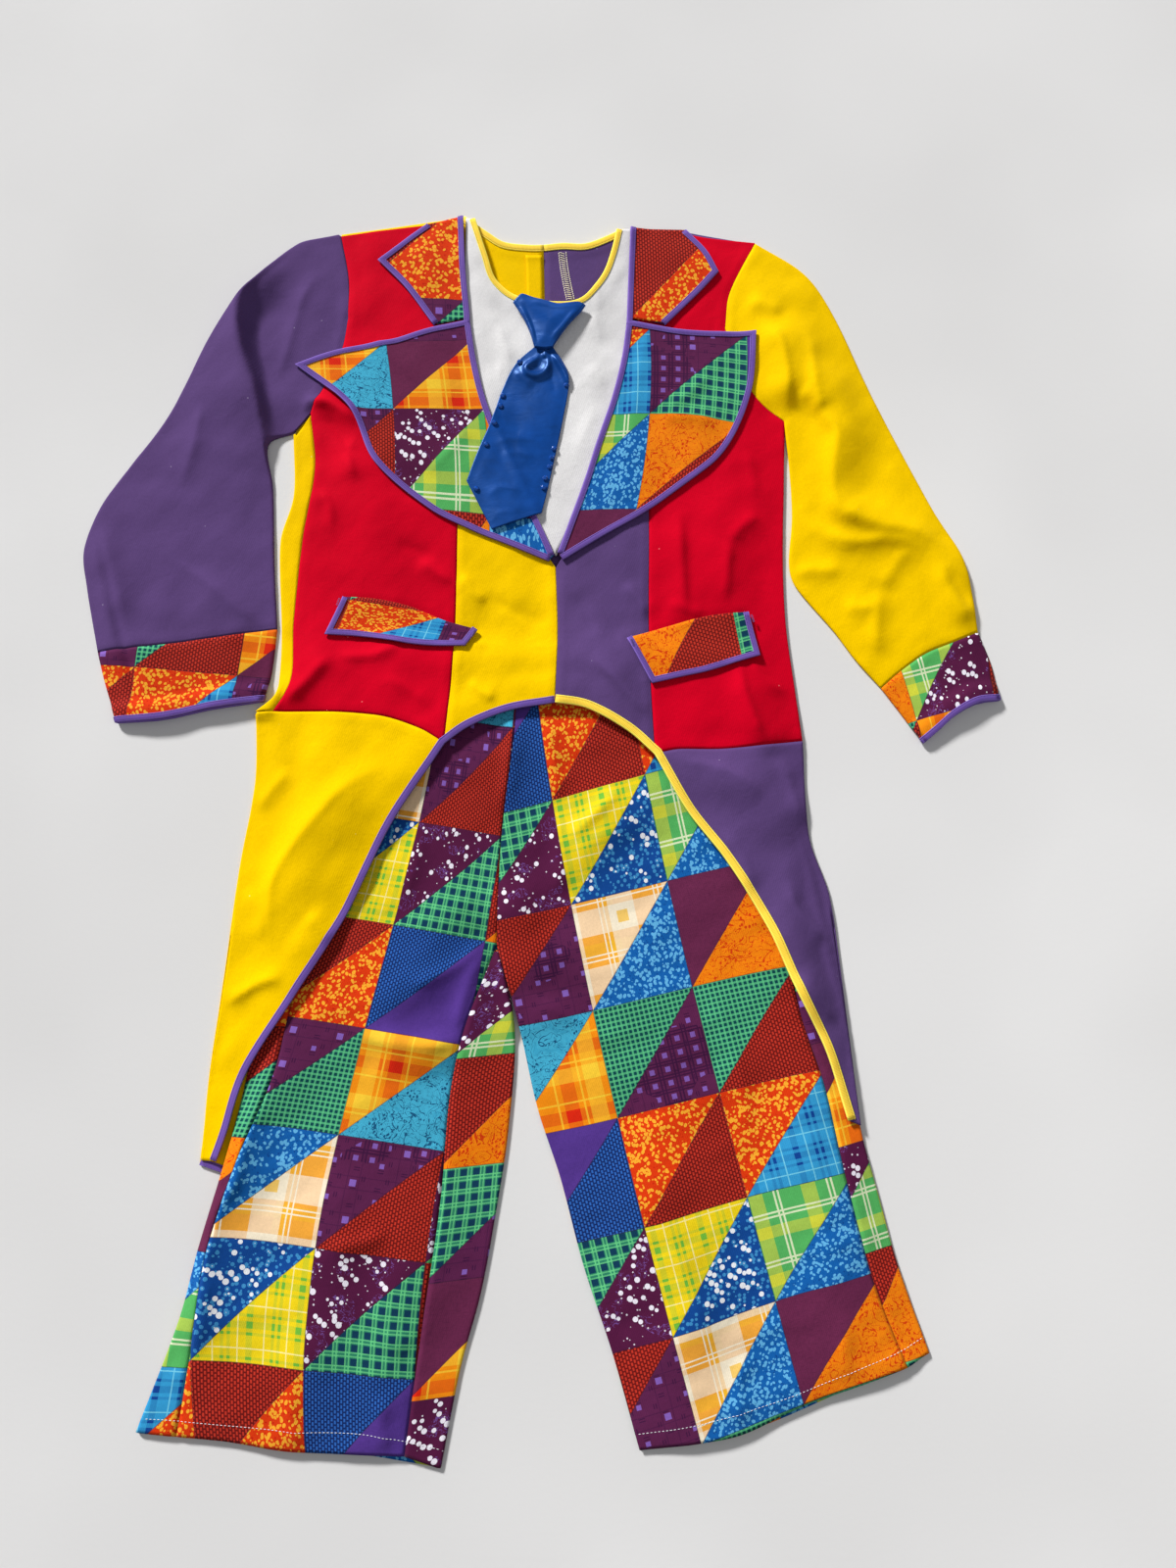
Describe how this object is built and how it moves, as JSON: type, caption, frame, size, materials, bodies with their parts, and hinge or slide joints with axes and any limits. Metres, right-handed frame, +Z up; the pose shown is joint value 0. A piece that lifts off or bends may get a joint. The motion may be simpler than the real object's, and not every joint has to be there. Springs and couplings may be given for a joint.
{
  "type": "clown costume",
  "caption": "Child's clown costume laid flat on its back: tailcoat with attached shirt front and satin tie, wide lapels, bound edges, patchwork cuffs and trousers.",
  "frame": {"origin": "middle of the outline, on the surface the costume lies on", "axes": "+Y runs up the garment towards the neck, +X towards the wearer's left, +Z up from the surface"},
  "size_m": [0.8105, 1.0864, 0.0191],
  "materials": {
    "yellow_cloth": "matt smooth polyester knit",
    "purple_cloth": "matt smooth polyester knit",
    "red_cloth": "matt smooth polyester knit",
    "white_cloth": "matt plain weave",
    "patchwork_cloth": "matt plain weave printed all over with half-square triangles in many small patterns",
    "purple_binding": "fine woven tape, slight sheen",
    "yellow_binding": "fine woven tape, slight sheen",
    "blue_satin": "glossy satin"
  },
  "bodies": {
    "root": {"back_placket": "yellow_cloth", "coat_back_left": "purple_cloth", "coat_back_right": "yellow_cloth", "tail_back_left": "purple_cloth", "tail_back_right": "yellow_cloth", "front_side_right": "red_cloth", "front_side_left": "red_cloth", "front_centre_right": "yellow_cloth", "front_centre_left": "purple_cloth", "tail_front_right": "yellow_cloth", "tail_front_left": "purple_cloth", "sleeve_right": "purple_cloth", "sleeve_left": "yellow_cloth", "cuff_right": "patchwork_cloth", "cuff_left": "patchwork_cloth", "shirt_front": "white_cloth", "collar_right": "patchwork_cloth", "collar_left": "patchwork_cloth", "lapel_right": "patchwork_cloth", "lapel_left": "patchwork_cloth", "flap_right": "patchwork_cloth", "flap_left": "patchwork_cloth", "tail_binding_right": "purple_binding", "tail_binding_left": "yellow_binding", "tail_hem_binding_right": "purple_binding", "front_edge_binding_right": "purple_binding", "front_edge_binding_left": "purple_binding", "collar_binding_right": "purple_binding", "collar_binding_left": "purple_binding", "lapel_binding_right": "purple_binding", "lapel_binding_left": "purple_binding", "flap_binding_right": "purple_binding", "flap_binding_left": "purple_binding", "cuff_binding_right": "purple_binding", "cuff_binding_left": "purple_binding", "neck_binding_front": "yellow_binding", "neck_binding_back_right": "yellow_binding", "neck_binding_back_left": "yellow_binding", "tie_knot": "blue_satin", "tie_blade": "blue_satin", "trouser_front_right": "patchwork_cloth", "trouser_front_left": "patchwork_cloth", "trouser_back_right": "patchwork_cloth", "trouser_back_left": "patchwork_cloth"}
  },
  "joints": []
}
